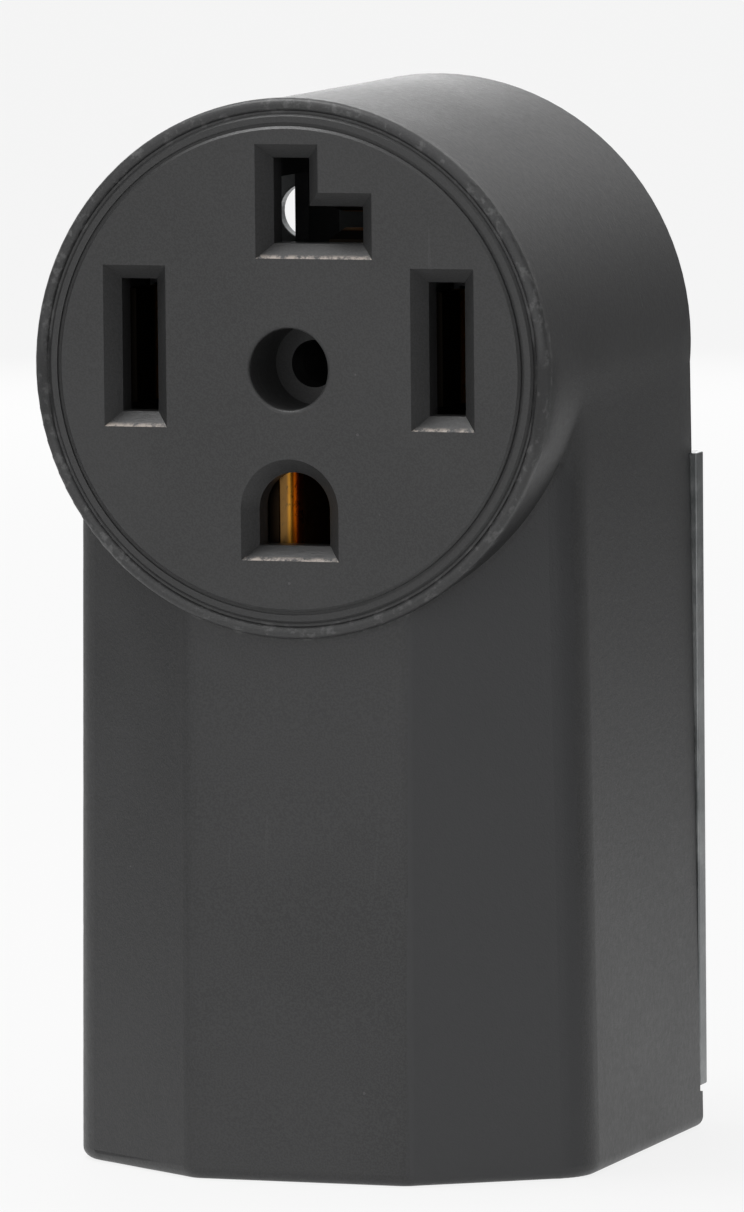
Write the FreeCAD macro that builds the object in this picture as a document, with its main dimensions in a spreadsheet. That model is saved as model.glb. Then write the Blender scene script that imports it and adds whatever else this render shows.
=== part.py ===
import FreeCAD, Part
import math
import os
import Sketcher
from FreeCAD import Vector

# Surface-mounted dryer outlet with a round four-slot face.
# Every piece is drawn in one frame: X to the right as seen from the front,
# Y from the face of the head (zero) into the wall, Z up, zero on the head's axis.
# The pieces are then set back together, so that the wall plane lies at Y zero.

DRIVING = [
    ("overall_depth", 51.1, "face of the head to the wall"),
    ("rim_radius", 26.55, "outer radius of the bead round the face"),
    ("rim_bead", 0.65, "radius of the bead's section"),
    ("rim_back", 2.1, "depth at which the bead has run into the head"),
    ("head_step", 0.25, "the head behind the bead is that much smaller"),
    ("head_draft", 0.3, "the head grows by that much toward its rear edge"),
    ("wall_gap", 3.2, "housing's rear edge to the wall"),
    ("foot_drop", 80.4, "head axis down to the foot"),
    ("side_offset", 0.08, "body narrower than the bead at the axis, each side"),
    ("side_spread", 0.93, "body wider at the foot than at the axis, each side"),
    ("side_lean", 0.45, "each side is that much narrower at its front corner"),
    ("facet_half", 11.25, "half width of the flat front facet"),
    ("front_recess_top", 1.84, "front facet behind the face, at the head's axis"),
    ("front_recess_foot", 0.3, "front facet behind the face, at the foot"),
    ("corner_depth", 10.9, "depth at which the slanted facet meets the side"),
    ("corner_round", 5.6, "rounding between slanted facet and side"),
    ("ridge_round", 3.0, "rounding of the two front ridges"),
    ("foot_round", 1.2, "rounding round the foot"),
    ("wall", 2.4, "wall of the wiring compartment"),
    ("ridge_share", 0.29, "inner ridge steps in by this share of the wall"),
    ("corner_share", 0.55, "inner corner steps back by this share of the wall"),
    ("head_wall", 2.45, "wall of the head behind its inner ring"),
    ("seat_depth", 3.2, "depth of the seat that takes the face insert"),
    ("seat_gap", 0.25, "dark line round the face insert"),
    ("shoulder_thickness", 2.0, "ring that insert and carrier clamp between them"),
    ("shoulder_width", 1.8, "width of that ring"),
    ("fit_gap", 0.15, "clearance between moulded pieces"),
    ("key_half", 1.5, "half width of the key that stops the insert turning"),
    ("key_height", 1.4, "its height on the seat"),
    ("key_gap", 0.1, "its inner end outside the ring's inner edge"),
    ("face_margin", 2.75, "raised disc of the face, in from the bead's outside"),
    ("face_bevel", 0.25, "bevel round the raised disc"),
    ("line_width", 0.35, "fine line round the raised disc"),
    ("line_depth", 0.6, "depth of that line"),
    ("band_recess", 0.35, "band outside the line, behind the disc"),
    ("insert_depth", 8.0, "thickness of the insert"),
    ("hub_radius", 6.3, "hub round the centre bore"),
    ("hub_length", 3.5, "hub behind the insert"),
    ("slot_spacing", 31.75, "centre to centre of the two upright slots"),
    ("slot_width", 6.5, "mouth width of a slot over its bevels"),
    ("slot_height", 15.9, "mouth height of an upright slot"),
    ("slot_lift", 2.1, "upright slots' centre above the axis"),
    ("bevel_width", 1.4, "bevel round each slot, seen from the front"),
    ("bevel_depth", 1.6, "bevel round each slot, in depth"),
    ("land_depth", 4.0, "face to the inner side of the slotted wall"),
    ("core_radius", 3.5, "round hollows that thin the insert from behind"),
    ("core_x", 9.6, "their centres beside the axis"),
    ("core_z", 13.2, "and above and below it"),
    ("neutral_bottom", 10.85, "lower edge of the L slot's mouth"),
    ("neutral_height", 11.2, "height of the L slot's mouth"),
    ("neutral_reach", 8.75, "L slot's mouth from the axis to its right end"),
    ("ground_radius", 5.05, "arch radius of the U slot's mouth"),
    ("ground_centre", 13.85, "U slot's arch centre below the axis"),
    ("ground_bottom", 18.8, "U slot's flat lower edge below the axis"),
    ("sink_radius", 4.0, "counterbore for the cover screw's head"),
    ("sink_depth", 8.0, "its depth"),
    ("sink_edge", 0.4, "rounding of its mouth"),
    ("screw_bore", 2.35, "radius of the bore for the cover screw"),
    ("web_thickness", 3.0, "front web of the carrier, behind the insert"),
    ("tower_length", 16.0, "contact towers behind that web"),
    ("tower_wall", 1.4, "wall of the towers round the contacts"),
    ("pocket_round", 0.5, "rounding of the pockets' corners"),
    ("pocket_half", 3.7, "half width of a contact pocket"),
    ("hot_pocket_half", 7.2, "half height of an upright slot's pocket"),
    ("leaf_margin", 1.3, "pocket beyond the contact leaves, each way"),
    ("window_rear", 17.5, "rear edge of the side window in the L tower"),
    ("block_top", 21.0, "terminal block's top below the axis"),
    ("block_height", 19.0, "terminal block's height"),
    ("block_thickness", 12.0, "terminal block's depth"),
    ("block_margin", 5.4, "terminal block beyond its outer screws"),
    ("terminal_drop", 32.0, "terminal screws below the axis"),
    ("barrier_thickness", 1.4, "barriers between the terminals"),
    ("barrier_height", 3.4, "barriers behind the block's rear face"),
    ("brass", 1.0, "thickness of the contact strip"),
    ("leaf_root", 2.9, "outer half width of the contact at its root"),
    ("leaf_tip_depth", 5.0, "face to the tips of the contact leaves"),
    ("leaf_pinch_depth", 10.5, "face to where the leaves come nearest"),
    ("leaf_back_depth", 18.0, "face to where the leaves run straight"),
    ("blade_half", 0.75, "half the gap where flat leaves pinch"),
    ("flat_tip_half", 1.6, "half the gap at the flat leaves' tips"),
    ("pin_half", 2.1, "half the gap where the ground leaves pinch"),
    ("pin_tip_half", 2.8, "half the gap at the ground leaves' tips"),
    ("pin_root", 3.5, "outer half width of the ground contact at its root"),
    ("leaf_bulge", 3.0, "rounding of the leaves where they pinch"),
    ("tail_half", 4.0, "half width of the terminal tails"),
    ("tail_end", 1.2, "tails stop short of the block's edge by this"),
    ("clip_thickness", 0.6, "steel of the clips over the leaves"),
    ("clip_front", 3.5, "web to the clips' front edge"),
    ("clip_length", 6.0, "clips' length along the leaves"),
    ("screw_radius", 2.0, "terminal screws' shank"),
    ("screw_clear", 0.2, "clearance round a terminal screw"),
    ("screw_head_radius", 4.0, "terminal screws' head"),
    ("screw_head_height", 2.2, "its height"),
    ("head_edge", 0.6, "rounding of the screw heads"),
    ("screw_slot_width", 1.1, "driver slot"),
    ("screw_slot_depth", 1.1, "its depth"),
    ("clamp_size", 8.6, "clamp plates across"),
    ("clamp_thickness", 1.4, "their thickness"),
    ("clamp_lip", 1.1, "lip turned up along their lower edge"),
    ("nut_size", 7.0, "square nuts across flats"),
    ("nut_thickness", 3.0, "their thickness"),
    ("joint_screw_x", 13.3, "carrier screws beside the axis"),
    ("joint_screw_z", 13.9, "carrier screws above and below the axis"),
    ("joint_screw_radius", 1.45, "their shank"),
    ("joint_head_radius", 2.8, "their head"),
    ("joint_head_height", 2.2, "its height"),
    ("joint_screw_tip", 4.6, "face to their tips"),
    ("plate", 1.5, "thickness of the steel back plate"),
    ("flange_inset", 0.4, "plate's flanges inside the body's sides"),
    ("flange_height", 3.8, "wall to the flanges' front edges"),
    ("flange_top", 11.8, "flanges' upper ends below the axis"),
    ("plate_rise", 3.9, "plate's lower edge above the foot"),
    ("plate_bend", 2.2, "outer radius of the plate's bends"),
    ("relief_gap", 0.2, "room round a flange in the housing's edge"),
    ("tongue_inset", 2.05, "plate's round top inside the bead's radius"),
    ("mount_half", 14.9, "wall screw holes beside the axis"),
    ("mount_lift", 12.3, "upper wall screw holes above the axis"),
    ("mount_rise", 28.7, "lower wall screw holes above the foot"),
    ("mount_radius", 2.8, "radius of the wall screw holes"),
    ("knockout_drop", 48.0, "knockout's centre below the axis"),
    ("knockout_radius", 11.1, "knockout for a cable from the wall"),
    ("knockout_cut", 0.5, "width of the cut round it"),
    ("knockout_tie", 3.0, "width of the two ties that hold it"),
    ("post_radius", 4.4, "threaded post for the cover screw"),
    ("post_bore", 1.9, "radius of its thread"),
    ("post_thread", 14.0, "depth of its thread"),
    ("post_rivet", 3.0, "radius of the end riveted into the plate"),
    ("sheet", 0.8, "thickness of the insulating sheet"),
    ("sheet_half", 22.0, "its half width"),
    ("sheet_round", 3.0, "rounding of its corners"),
    ("sheet_top", 6.5, "its upper edge above the axis"),
    ("sheet_bottom", 36.2, "its lower edge below the axis"),
    ("cable_half", 10.0, "half width of the cable notch in the foot"),
    ("cable_room", 13.6, "wall to the front of the cable notch"),
    ("saddle_lift", 13.9, "cable saddle above the foot"),
    ("saddle_width", 10.0, "width of the saddle's strip"),
    ("saddle_strip", 1.6, "its thickness"),
    ("saddle_half", 9.2, "half the clear width under the saddle"),
    ("saddle_rise", 9.4, "clear height under the saddle"),
    ("saddle_ear", 9.0, "length of the saddle's ears"),
    ("saddle_screw_radius", 1.9, "saddle screws' shank"),
    ("saddle_head_radius", 3.5, "their head"),
    ("saddle_head_height", 2.4, "its height"),
]


class Size:
    """A length that carries its number and the sheet expression it comes from."""

    def __init__(self, number, text=None):
        self.number = float(number)
        self.text = repr(float(number)) if text is None else text

    def joined(self, other, sign, number):
        return Size(number, "(" + self.text + sign + other.text + ")")

    def __add__(self, other):
        other = as_size(other)
        return self.joined(other, " + ", self.number + other.number)

    def __radd__(self, other):
        return as_size(other) + self

    def __sub__(self, other):
        other = as_size(other)
        return self.joined(other, " - ", self.number - other.number)

    def __rsub__(self, other):
        return as_size(other) - self

    def __mul__(self, other):
        other = as_size(other)
        return self.joined(other, " * ", self.number * other.number)

    def __rmul__(self, other):
        return as_size(other) * self

    def __truediv__(self, other):
        other = as_size(other)
        return self.joined(other, " / ", self.number / other.number)

    def __neg__(self):
        return Size(-self.number, "(0 - " + self.text + ")")


def as_size(value):
    return value if isinstance(value, Size) else Size(value)


class Dimensions:
    """The driving dimensions, one attribute for each alias of the sheet."""

    def __init__(self, document, driving):
        sheet = document.addObject("Spreadsheet::Sheet", "Dims")
        for row, (alias, number, note) in enumerate(driving, start=1):
            sheet.set("A%d" % row, alias)
            sheet.set("B%d" % row, str(number))
            sheet.setAlias("B%d" % row, alias)
            sheet.set("C%d" % row, note)
            setattr(self, alias, Size(number, "Dims." + alias))
        document.recompute()


doc = FreeCAD.newDocument("dryer_outlet")
dims = Dimensions(doc, DRIVING)

# Sizes that follow from the driving ones
dims.housing_depth = dims.overall_depth - dims.wall_gap
dims.head_front_radius = dims.rim_radius - dims.head_step
dims.head_rear_radius = dims.head_front_radius + dims.head_draft
dims.bore_radius = dims.rim_radius - dims.head_wall
dims.shoulder_radius = dims.bore_radius - dims.shoulder_width
dims.face_radius = dims.rim_radius - dims.face_margin
dims.side_half_top = dims.rim_radius - dims.side_offset
dims.side_half_foot = dims.side_half_top + dims.side_spread
dims.hub_depth = dims.insert_depth + dims.hub_length
dims.web_depth = dims.insert_depth + dims.web_thickness
dims.carrier_depth = dims.web_depth + dims.tower_length
dims.terminal_pitch = dims.slot_spacing / 3
dims.block_bottom = dims.block_top + dims.block_height
dims.block_front = dims.carrier_depth - dims.block_thickness
dims.block_half = dims.slot_spacing / 2 + dims.block_margin
dims.plate_front = dims.overall_depth - dims.plate
dims.flange_half = dims.side_half_foot - dims.flange_inset
dims.flange_front = dims.overall_depth - dims.flange_height
dims.flange_bottom = dims.foot_drop - dims.plate_rise
dims.tongue_radius = dims.rim_radius - dims.tongue_inset
dims.mount_drop = dims.foot_drop - dims.mount_rise
dims.cable_front = dims.overall_depth - dims.cable_room
dims.saddle_drop = dims.foot_drop - dims.saddle_lift


# Drawing helpers

def bind(feature, prop, size):
    feature.setExpression(prop, as_size(size).text)


def new_body(label):
    """A piece, set back so that the wall plane is at Y zero."""
    body = doc.addObject("PartDesign::Body", label)
    body.Label = label
    bind(body, "Placement.Base.y", -dims.overall_depth)
    return body


def new_sketch(body, name, plane, offset=0):
    """Sketch on one of the body's own planes, moved along that plane's normal."""
    sketch = body.newObject("Sketcher::SketchObject", name)
    support = [item for item in body.Origin.OriginFeatures if item.Role == plane][0]
    sketch.AttachmentSupport = [(support, "")]
    sketch.MapMode = "FlatFace"
    bind(sketch, "AttachmentOffset.Base.z", offset)
    return sketch


def front_sketch(body, name, depth):
    """Sketch seen from the front, X right and Z up, at a depth behind the face."""
    return new_sketch(body, name, "XZ_Plane", -as_size(depth))


def plan_sketch(body, name, height=0):
    """Sketch seen from above, X right and Y into the wall."""
    return new_sketch(body, name, "XY_Plane", height)


def side_sketch(body, name, across=0):
    """Sketch seen from the right, Y into the wall and Z up."""
    return new_sketch(body, name, "YZ_Plane", across)


def pin_point(sketch, edge, end, x, y):
    """Hold a point of the sketch at two bound coordinates."""
    for kind, axis, size in (("DistanceX", -2, x), ("DistanceY", -1, y)):
        size = as_size(size)
        if size.text == "0.0":
            sketch.addConstraint(Sketcher.Constraint("PointOnObject", edge, end, axis))
        else:
            index = sketch.addConstraint(
                Sketcher.Constraint(kind, -1, 1, edge, end, size.number))
            bind(sketch, "Constraints[%d]" % index, size)


def pin_centre(sketch, edge, chord, centre):
    """Hold an arc's centre along the one direction that its two ends leave free."""
    along_y = abs(chord.x) > abs(chord.y)
    kind = "DistanceY" if along_y else "DistanceX"
    size = as_size(centre[1] if along_y else centre[0])
    if size.text == "0.0":
        axis = -1 if along_y else -2
        sketch.addConstraint(Sketcher.Constraint("PointOnObject", edge, 3, axis))
    else:
        index = sketch.addConstraint(
            Sketcher.Constraint(kind, -1, 1, edge, 3, size.number))
        bind(sketch, "Constraints[%d]" % index, size)


def tangent_length(before, corner, after, radius):
    """Distance from a corner to where its rounding begins."""
    one = (before - corner).normalize()
    two = (after - corner).normalize()
    return radius / math.tan(math.acos(one.dot(two)) / 2)


def round_corner(sketch, before, after, corner, radius):
    """Arc between two edges of an outline, tangent to both, at a pinned corner."""
    x, y, radius = as_size(corner[0]), as_size(corner[1]), as_size(radius)
    point = Vector(x.number, y.number, 0)
    start = sketch.Geometry[before].EndPoint
    end = sketch.Geometry[after].StartPoint
    chord = (start + end) / 2 - point
    reach = math.hypot(radius.number, (start - point).Length)
    centre = point + chord.normalize() * reach
    turn_left = (start - point).cross(end - point).z < 0
    first, last = (start, end) if turn_left else (end, start)
    angles = [math.atan2(p.y - centre.y, p.x - centre.x) for p in (first, last)]
    arc = sketch.addGeometry(Part.ArcOfCircle(
        Part.Circle(centre, Vector(0, 0, 1), radius.number), angles[0], angles[1]))
    places = (1, 2) if turn_left else (2, 1)
    sketch.addConstraint(Sketcher.Constraint("Tangent", before, 2, arc, places[0]))
    sketch.addConstraint(Sketcher.Constraint("Tangent", arc, places[1], after, 1))
    index = sketch.addConstraint(Sketcher.Constraint("Radius", arc, radius.number))
    bind(sketch, "Constraints[%d]" % index, radius)
    mark = sketch.addGeometry(Part.Point(point), True)
    sketch.addConstraint(Sketcher.Constraint("PointOnObject", mark, 1, before))
    sketch.addConstraint(Sketcher.Constraint("PointOnObject", mark, 1, after))
    pin_point(sketch, mark, 1, x, y)


def draw_outline(sketch, corners, arcs=None, rounds=None):
    """Closed outline through bound corners.

    arcs gives, for the edge that starts at a corner, the arc's centre and
    whether it runs counterclockwise; every other edge is straight.
    rounds gives the radius of each corner that is rounded between two straight edges.
    """
    arcs = arcs or {}
    rounds = rounds or {}
    corners = [(as_size(x), as_size(y)) for x, y in corners]
    points = [Vector(x.number, y.number, 0) for x, y in corners]
    count = len(points)
    setback = [0.0] * count
    for number, radius in rounds.items():
        setback[number] = tangent_length(
            points[number - 1], points[number], points[(number + 1) % count],
            as_size(radius).number)
    first = sketch.GeometryCount
    ends = []
    for number, start in enumerate(points):
        following = (number + 1) % count
        end = points[following]
        if number not in arcs:
            along = (end - start).normalize()
            sketch.addGeometry(Part.LineSegment(
                start + along * setback[number], end - along * setback[following]))
            ends.append((1, 2))
            continue
        centre, counterclockwise = arcs[number]
        middle = Vector(as_size(centre[0]).number, as_size(centre[1]).number, 0)
        angles = [math.atan2(p.y - middle.y, p.x - middle.x) for p in (start, end)]
        if not counterclockwise:
            angles.reverse()
        circle = Part.Circle(middle, Vector(0, 0, 1), (start - middle).Length)
        sketch.addGeometry(Part.ArcOfCircle(circle, angles[0], angles[1]))
        ends.append((1, 2) if counterclockwise else (2, 1))
    for number, (x, y) in enumerate(corners):
        edge = first + number
        before = first + (number - 1) % count
        if number in rounds:
            round_corner(sketch, before, edge, (x, y), rounds[number])
        else:
            sketch.addConstraint(Sketcher.Constraint(
                "Coincident", before, ends[number - 1][1], edge, ends[number][0]))
            pin_point(sketch, edge, ends[number][0], x, y)
    for number, (centre, _) in arcs.items():
        chord = points[(number + 1) % count] - points[number]
        pin_centre(sketch, first + number, chord, centre)


def draw_circle(sketch, x, y, radius):
    x, y, radius = as_size(x), as_size(y), as_size(radius)
    edge = sketch.addGeometry(
        Part.Circle(Vector(x.number, y.number, 0), Vector(0, 0, 1), radius.number))
    index = sketch.addConstraint(Sketcher.Constraint("Radius", edge, radius.number))
    bind(sketch, "Constraints[%d]" % index, radius)
    pin_point(sketch, edge, 3, x, y)


def draw_box(sketch, left, right, low, high, rounding=None):
    corners = [(left, low), (right, low), (right, high), (left, high)]
    rounds = {} if rounding is None else dict.fromkeys(range(4), rounding)
    draw_outline(sketch, corners, rounds=rounds)


def add_pad(body, name, sketch, length, into_wall=True):
    """Pad a sketch; a front sketch grows into the wall."""
    pad = body.newObject("PartDesign::Pad", name)
    pad.Profile = sketch
    pad.Reversed = into_wall
    bind(pad, "Length", length)
    return pad


def add_pocket(body, name, sketch, length, reversed_cut=False):
    """Cut a sketch; a front sketch cuts into the wall, a plan sketch downward."""
    pocket = body.newObject("PartDesign::Pocket", name)
    pocket.Profile = sketch
    pocket.Reversed = reversed_cut
    bind(pocket, "Length", length)
    return pocket


def turn(body, name, corners, arcs=None, cut=False):
    """Turn a half section about the head's axis; corners are radius and depth."""
    sketch = plan_sketch(body, name + "_section")
    draw_outline(sketch, corners, arcs)
    kind = "PartDesign::Groove" if cut else "PartDesign::Revolution"
    feature = body.newObject(kind, name)
    feature.Profile = sketch
    feature.ReferenceAxis = (sketch, ["V_Axis"])
    feature.Angle = 360
    return feature


def repeat_across(body, name, feature, length, count):
    """Repeat a feature toward the right, the last copy that length away."""
    pattern = body.newObject("PartDesign::LinearPattern", name)
    pattern.Originals = [feature]
    axis = [item for item in body.Origin.OriginFeatures if item.Role == "X_Axis"][0]
    pattern.Direction = (axis, [""])
    bind(pattern, "Length", length)
    pattern.Occurrences = count
    body.Tip = pattern
    return pattern


def add_loft(body, name, sketches, cut=False):
    kind = "PartDesign::SubtractiveLoft" if cut else "PartDesign::AdditiveLoft"
    loft = body.newObject(kind, name)
    loft.Profile = sketches[0]
    loft.Sections = sketches[1:]
    loft.Ruled = True
    return loft


def round_edges(body, name, radius, wanted):
    """Fillet the edges of the body's tip that the test wanted picks out."""
    doc.recompute()
    base = body.Tip
    names = [
        "Edge%d" % (number + 1)
        for number, edge in enumerate(base.Shape.Edges) if wanted(edge)
    ]
    if not names:
        raise ValueError("no edge found for " + name)
    fillet = body.newObject("PartDesign::Fillet", name)
    fillet.Base = (base, names)
    bind(fillet, "Radius", radius)
    return fillet


def is_line_along(edge, axis, length=0.0):
    """True for a straight edge that runs mostly along X, Y or Z."""
    run = edge.Vertexes[-1].Point - edge.Vertexes[0].Point
    straight = edge.Length - run.Length < 0.001
    return straight and edge.Length > length and abs(getattr(run, axis)) > 0.9 * edge.Length


# Housing: one black moulding, a round head that runs down into a faceted
# wiring compartment, open at the rear.

def body_section(sketch, half, recess, corner, facet, corner_round, ridge_round):
    """Plan of the compartment: flat front facet, two slanted facets, two sides."""
    draw_outline(sketch, [
        (-half, dims.housing_depth),
        (-(half - dims.side_lean), corner),
        (-facet, recess),
        (facet, recess),
        (half - dims.side_lean, corner),
        (half, dims.housing_depth),
    ], rounds={1: corner_round, 2: ridge_round, 3: ridge_round, 4: corner_round})


def share_down(top, foot, drop):
    """Size between the head's axis and the foot, at a drop below the axis."""
    return top + (foot - top) * (drop / dims.foot_drop)


def compartment_hollow(body, name, drops, front=None):
    """Hollow between two drops below the axis, parallel to the outer facets."""
    sketches = []
    for place, drop in zip(("high", "low"), drops):
        half = share_down(dims.side_half_top, dims.side_half_foot, drop) - dims.wall
        recess = share_down(dims.front_recess_top, dims.front_recess_foot, drop) + dims.wall
        corner = dims.corner_depth + dims.wall * dims.corner_share
        facet = dims.facet_half - dims.wall * dims.ridge_share
        if front is not None:
            slope = (half - dims.side_lean - facet) / (corner - recess)
            facet = facet + (front - recess) * slope
            recess = front
        sketch = plan_sketch(body, name + "_" + place, -as_size(drop))
        body_section(sketch, half, recess, corner, facet,
                     dims.corner_round - dims.wall, dims.ridge_round)
        sketches.append(sketch)
    return add_loft(body, name, sketches, cut=True)


def make_housing():
    body = new_body("housing")
    foot = plan_sketch(body, "foot_section", -dims.foot_drop)
    body_section(foot, dims.side_half_foot, dims.front_recess_foot, dims.corner_depth,
                 dims.facet_half, dims.corner_round, dims.ridge_round)
    top = plan_sketch(body, "axis_section")
    body_section(top, dims.side_half_top, dims.front_recess_top, dims.corner_depth,
                 dims.facet_half, dims.corner_round, dims.ridge_round)
    add_loft(body, "compartment", [top, foot])

    foot_level = -dims.foot_drop.number + 0.01
    rear_level = dims.housing_depth.number - 0.01
    round_edges(body, "foot_edges", dims.foot_round, lambda e:
                e.BoundBox.ZMax < foot_level and e.BoundBox.YMin < rear_level)

    seat = dims.rim_radius - dims.rim_bead * 2
    bead_depth = dims.rim_bead + dims.band_recess
    turn(body, "head", [
        (0, bead_depth),
        (seat, bead_depth),
        (dims.rim_radius, bead_depth),
        (dims.rim_radius, dims.rim_back - dims.rim_bead / 2),
        (dims.head_front_radius, dims.rim_back),
        (dims.head_rear_radius, dims.housing_depth),
        (0, dims.housing_depth),
    ], {1: ((dims.rim_radius - dims.rim_bead, bead_depth), True)})

    shoulder_rear = dims.seat_depth + dims.shoulder_thickness
    turn(body, "head_bore", [
        (0, 0),
        (seat, 0),
        (seat, dims.seat_depth),
        (dims.shoulder_radius, dims.seat_depth),
        (dims.shoulder_radius, shoulder_rear),
        (dims.bore_radius, shoulder_rear),
        (dims.bore_radius, dims.housing_depth),
        (0, dims.housing_depth),
    ], cut=True)
    key = front_sketch(body, "key_outline", dims.seat_depth - dims.key_height)
    draw_box(key, -dims.key_half, dims.key_half,
             -(seat + dims.fit_gap), -(dims.shoulder_radius + dims.key_gap))
    add_pad(body, "key", key, dims.key_height)
    meeting = dims.head_rear_radius + dims.fit_gap
    compartment_hollow(body, "wiring_space", (meeting, dims.foot_drop - dims.wall))
    compartment_hollow(body, "neck_space", (as_size(0), meeting),
                       front=shoulder_rear + dims.fit_gap)

    relief = side_sketch(body, "flange_relief_outline", dims.side_half_foot + 1)
    draw_box(relief, dims.flange_front - dims.relief_gap, dims.housing_depth + 1,
             -(dims.flange_bottom + dims.relief_gap), -(dims.flange_top - dims.relief_gap))
    add_pocket(body, "flange_relief", relief, dims.side_half_foot * 2 + 2)

    notch = plan_sketch(body, "cable_notch_outline", -(dims.foot_drop - dims.wall - 1))
    round_depth = dims.cable_front + dims.cable_half / 2
    draw_outline(notch, [
        (-dims.cable_half, dims.housing_depth + 1),
        (-dims.cable_half, round_depth),
        (-dims.cable_half / 2, dims.cable_front),
        (dims.cable_half / 2, dims.cable_front),
        (dims.cable_half, round_depth),
        (dims.cable_half, dims.housing_depth + 1),
    ], {
        1: ((-dims.cable_half / 2, round_depth), True),
        3: ((dims.cable_half / 2, round_depth), True),
    })
    add_pocket(body, "cable_notch", notch, dims.wall + 2)
    return body


# Slot outlines, shared by the insert and the carrier

def hot_corners(x, inset):
    half = dims.slot_width / 2 - inset
    height = dims.slot_height / 2 - inset
    return [
        (x - half, dims.slot_lift - height),
        (x + half, dims.slot_lift - height),
        (x + half, dims.slot_lift + height),
        (x - half, dims.slot_lift + height),
    ]


def neutral_corners(inset):
    half = dims.slot_width / 2 - inset
    low = dims.neutral_bottom + inset
    step = dims.neutral_bottom + dims.slot_width - inset
    high = dims.neutral_bottom + dims.neutral_height - inset
    reach = dims.neutral_reach - inset
    return [(-half, low), (reach, low), (reach, step), (half, step),
            (half, high), (-half, high)]


def ground_outline(sketch, inset):
    radius = dims.ground_radius - inset
    low = inset - dims.ground_bottom
    draw_outline(sketch, [
        (-radius, low),
        (radius, low),
        (radius, -dims.ground_centre),
        (-radius, -dims.ground_centre),
    ], {2: ((0, -dims.ground_centre), True)})


def hot_places():
    return (("left", -dims.slot_spacing / 2), ("right", dims.slot_spacing / 2))


def neutral_middle():
    """Height of the L slot's lower leg, where the neutral leaves grip."""
    return dims.neutral_bottom + dims.slot_width / 2


def neutral_pocket(sketch, margin):
    half = dims.pocket_half + margin
    low = neutral_middle() - half
    step = neutral_middle() + half
    high = dims.neutral_bottom + dims.neutral_height - dims.fit_gap * 3 + margin
    reach = dims.neutral_reach + margin
    rounding = dims.pocket_round + margin
    draw_outline(sketch, [(-half, low), (reach, low), (reach, step), (half, step),
                          (half, high), (-half, high)],
                 rounds={0: rounding, 1: rounding, 2: rounding, 4: rounding, 5: rounding})


def ground_pocket(sketch, margin):
    half = dims.pocket_half + dims.fit_gap * 4 + margin
    low = -dims.ground_bottom - dims.fit_gap * 6 - margin
    high = dims.ground_radius - dims.ground_centre + dims.fit_gap * 4 + margin
    draw_box(sketch, -half, half, low, high, dims.pocket_round + margin)


def hot_pocket(sketch, x, margin):
    half = dims.pocket_half + margin
    height = dims.hot_pocket_half + margin
    draw_box(sketch, x - half, x + half, dims.slot_lift - height,
             dims.slot_lift + height, dims.pocket_round + margin)


# Face insert: the round black front with the four bevelled slots

def cut_slot(body, name, draw):
    """Bevelled mouth, then the straight slot through the slotted wall."""
    mouth = front_sketch(body, name + "_mouth", 0)
    draw(mouth, as_size(0))
    throat = front_sketch(body, name + "_throat", dims.bevel_depth)
    draw(throat, dims.bevel_width)
    add_loft(body, name + "_bevel", [mouth, throat], cut=True)
    slot = front_sketch(body, name + "_slot", dims.bevel_depth)
    draw(slot, dims.bevel_width)
    add_pocket(body, name + "_through", slot, dims.land_depth - dims.bevel_depth + 1)


def joint_screw_places():
    return ((dims.joint_screw_x, dims.joint_screw_z),
            (-dims.joint_screw_x, -dims.joint_screw_z))


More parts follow.
